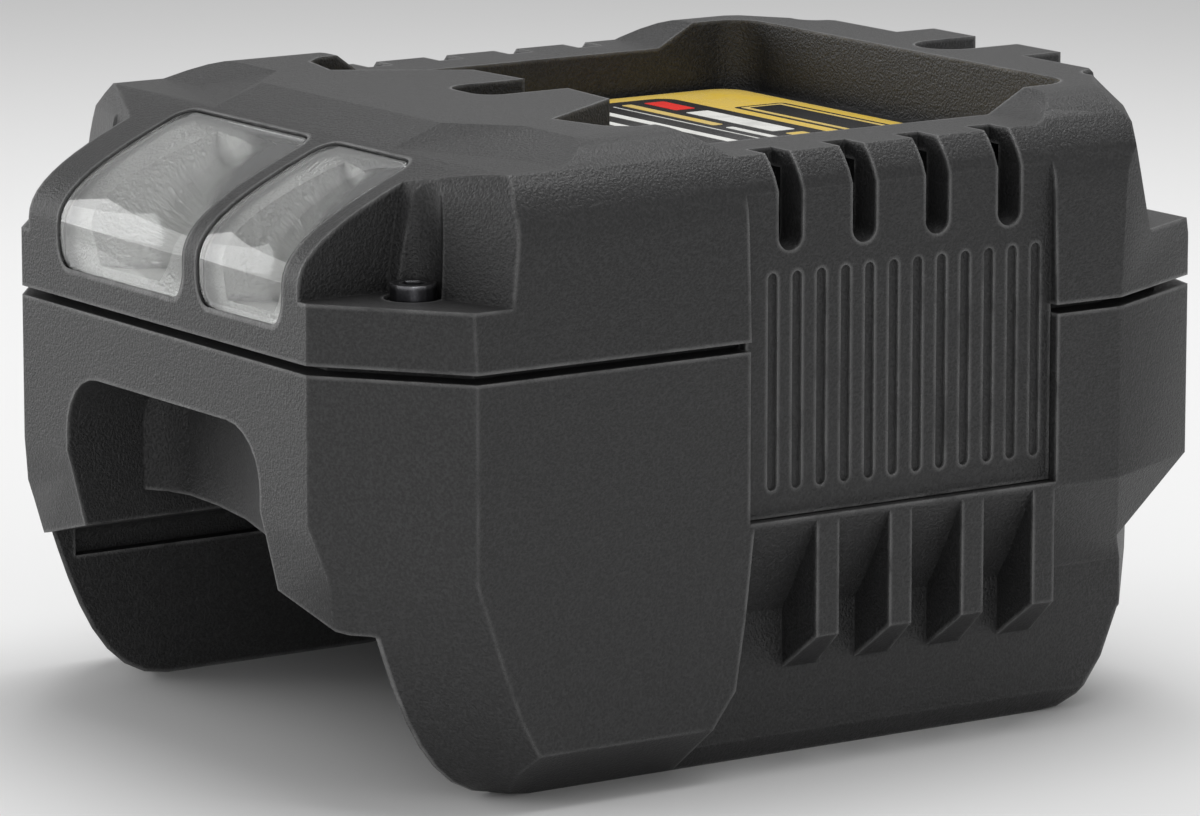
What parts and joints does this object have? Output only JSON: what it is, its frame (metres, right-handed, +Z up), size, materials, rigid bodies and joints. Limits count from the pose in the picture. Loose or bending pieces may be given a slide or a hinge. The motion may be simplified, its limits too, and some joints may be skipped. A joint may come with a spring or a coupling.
{
  "type": "power tool battery charger",
  "caption": "Box-shaped battery charger with work-light windows on a rounded nose, a label recess on top, vented side bands and a slide-in battery bay under it.",
  "frame": {"origin": "middle of the footprint, on the surface that the skirts stand on", "axes": "+X to the right seen from the front, +Y from the lamps to the mains inlet, +Z up"},
  "size_m": [0.108, 0.136, 0.084],
  "materials": {
    "housing_top": "fine grained, moulded",
    "housing_base": "fine grained, moulded",
    "plate": "printed, yellow border with plain frames and bars",
    "lens": "clear polycarbonate",
    "reflector": "metallised, lightly textured",
    "circuit_board": "solder mask",
    "led": "phosphor",
    "dark_screw": "black oxide",
    "plain_screw": "zinc plated",
    "ferrite": "sintered",
    "winding_tape": "polyester tape",
    "capacitor_sleeve": "shrink sleeve",
    "heat_sink": "extruded",
    "chip_case": "moulded",
    "fuse_body": "ceramic tube with plated caps",
    "copper_winding": "enamelled copper wire",
    "contact_plastic": "glass filled",
    "contact_metal": "plated copper",
    "inlet_plastic": "smooth",
    "pin_metal": "nickel plated",
    "lead_sleeve": "PVC",
    "fan_plastic": "moulded"
  },
  "bodies": {
    "charger": {"upper_housing": "housing_top", "lower_housing": "housing_base", "rating_plate": "plate", "lens_large": "lens", "lens_small": "lens", "reflector_large": "reflector", "reflector_small": "reflector", "lamp_board": "circuit_board", "lamp_leds": "led", "front_screws": "dark_screw", "rear_screws": "dark_screw", "main_board": "circuit_board", "board_screws": "plain_screw", "transformer_core": "ferrite", "transformer_winding": "winding_tape", "bulk_capacitors": "capacitor_sleeve", "output_capacitors": "capacitor_sleeve", "heat_sink": "heat_sink", "power_transistors": "chip_case", "fuse": "fuse_body", "line_choke": "copper_winding", "control_chip": "chip_case", "contact_block": "contact_plastic", "contact_blades": "contact_metal", "mains_inlet": "inlet_plastic", "inlet_pins": "pin_metal", "inlet_leads": "lead_sleeve", "fan_frame": "fan_plastic"},
    "rotor": {"fan_rotor": "fan_plastic"}
  },
  "joints": [
    {"name": "fan_spin", "type": "hinge", "parent": "charger", "child": "rotor", "pos_m": [0, -0.044, 0.0494], "axis": [0, 1, 0], "continuous": true}
  ]
}
